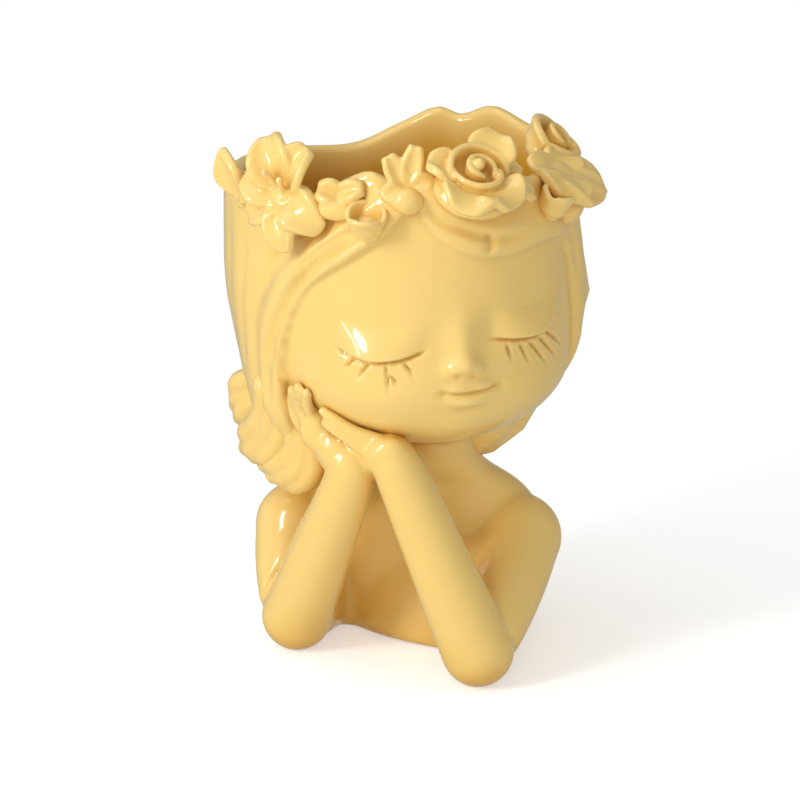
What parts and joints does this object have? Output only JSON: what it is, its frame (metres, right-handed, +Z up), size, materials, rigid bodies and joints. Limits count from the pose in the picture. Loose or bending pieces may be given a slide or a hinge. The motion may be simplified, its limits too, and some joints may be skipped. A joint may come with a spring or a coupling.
{
  "type": "head planter",
  "caption": "Glazed ceramic plant pot shaped as a doll's head with closed eyes and a crown of flowers, resting on a bust that leans its chin on both hands.",
  "frame": {"origin": "middle of the planter's box, on the surface that it stands on", "axes": "+Z up, the shoulders face -Y, +X is the figure's left"},
  "size_m": [0.1342, 0.1346, 0.1929],
  "materials": {
    "glaze": "glossy butter-yellow glaze over white clay",
    "stopper": "smooth pale rubber"
  },
  "bodies": {
    "planter": {"broad_blossom": "glaze", "bust_shell": "glaze", "cup_bud": "glaze", "curl_back": "glaze", "curl_front": "glaze", "curl_side": "glaze", "curled_blossom": "glaze", "fringe_left": "glaze", "fringe_right": "glaze", "hair_lock_1": "glaze", "hair_lock_10": "glaze", "hair_lock_2": "glaze", "hair_lock_3": "glaze", "hair_lock_4": "glaze", "hair_lock_5": "glaze", "hair_lock_6": "glaze", "hair_lock_7": "glaze", "hair_lock_8": "glaze", "hair_lock_9": "glaze", "head_shell": "glaze", "leaf_bud": "glaze", "left_arm": "glaze", "open_flower": "glaze", "outer_leaf": "glaze", "right_arm": "glaze", "rolled_leaf": "glaze", "rose": "glaze", "small_cup": "glaze"},
    "stopper": {"drain_stopper": "stopper"}
  },
  "joints": [
    {"name": "stopper_slide", "type": "slide", "parent": "planter", "child": "stopper", "axis": [0, 0, -1], "range_m": [0, 0.012]}
  ]
}
